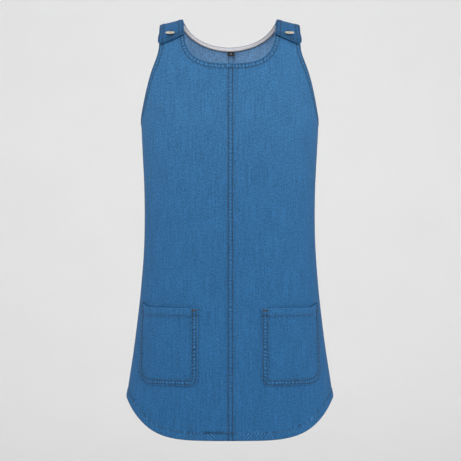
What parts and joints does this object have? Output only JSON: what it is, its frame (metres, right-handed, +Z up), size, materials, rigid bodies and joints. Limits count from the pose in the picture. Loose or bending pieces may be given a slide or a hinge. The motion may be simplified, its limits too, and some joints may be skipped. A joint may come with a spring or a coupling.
{
  "type": "artist's smock apron",
  "caption": "Sleeveless denim artist's smock with a scooped neck, strap tabs buttoned on the shoulders, a shirt-tail hem and two hip pockets.",
  "frame": {"origin": "between the wearer's shoulders, level with the inner ends of the shoulder lines", "axes": "+Z up along the wearer's spine; -Y to the wearer's front; +X to the wearer's left"},
  "size_m": [0.4314, 0.2867, 0.8695],
  "materials": {
    "denim": "matte",
    "denim_inside": "matte",
    "thread": "matte",
    "tack_thread": "matte",
    "twill_tape": "matte",
    "label_cloth": "matte",
    "button_resin": "satin"
  },
  "bodies": {
    "smock": {"front_panel_left": "denim", "back_panel_left": "denim", "pocket_patch_left": "denim", "armhole_facing_front_left": "denim_inside", "armhole_facing_back_left": "denim_inside", "hem_front_left": "denim_inside", "hem_back_left": "denim_inside", "side_seam_left": "denim_inside", "strap_facing_left": "denim_inside", "button_stay_left": "denim_inside", "pocket_hem_left": "denim_inside", "button_shank_left": "thread", "pocket_bar_tack_left": "tack_thread", "front_panel_right": "denim", "back_panel_right": "denim", "pocket_patch_right": "denim", "armhole_facing_front_right": "denim_inside", "armhole_facing_back_right": "denim_inside", "hem_front_right": "denim_inside", "hem_back_right": "denim_inside", "side_seam_right": "denim_inside", "strap_facing_right": "denim_inside", "button_stay_right": "denim_inside", "pocket_hem_right": "denim_inside", "button_shank_right": "thread", "pocket_bar_tack_right": "tack_thread", "front_centre_seam": "denim_inside", "back_centre_seam": "denim_inside", "front_neck_facing": "denim_inside", "back_neck_tape": "twill_tape"},
    "strap_left": {"strap_tab_left": "denim", "strap_tab_lining_left": "denim_inside", "buttonhole_left": "thread"},
    "button_left_body": {"button_left": "button_resin"},
    "strap_right": {"strap_tab_right": "denim", "strap_tab_lining_right": "denim_inside", "buttonhole_right": "thread"},
    "button_right_body": {"button_right": "button_resin"},
    "label": {"neck_label": "label_cloth"}
  },
  "joints": [
    {"name": "strap_left_open", "type": "hinge", "parent": "smock", "child": "strap_left", "pos_m": [0.12284, 0, -0.00265], "axis": [-0.9701, 0, 0.2425], "range_deg": [0, 150], "deforming": ["buttonhole_left"]},
    {"name": "button_left_turn", "type": "hinge", "parent": "smock", "child": "button_left_body", "pos_m": [0.12296, -0.08066, -0.0322], "axis": [0, -0.2588, 0.9659], "range_deg": [-40, 40]},
    {"name": "strap_right_open", "type": "hinge", "parent": "smock", "child": "strap_right", "pos_m": [-0.12284, 0, -0.00265], "axis": [-0.9701, 0, -0.2425], "range_deg": [0, 150], "deforming": ["buttonhole_right"]},
    {"name": "button_right_turn", "type": "hinge", "parent": "smock", "child": "button_right_body", "pos_m": [-0.12296, -0.08066, -0.0322], "axis": [0, -0.2588, 0.9659], "range_deg": [-40, 40]},
    {"name": "label_flip", "type": "hinge", "parent": "smock", "child": "label", "pos_m": [0.0025, 0.08916, -0.056], "axis": [-1, 0, 0], "range_deg": [-4, 100]}
  ]
}
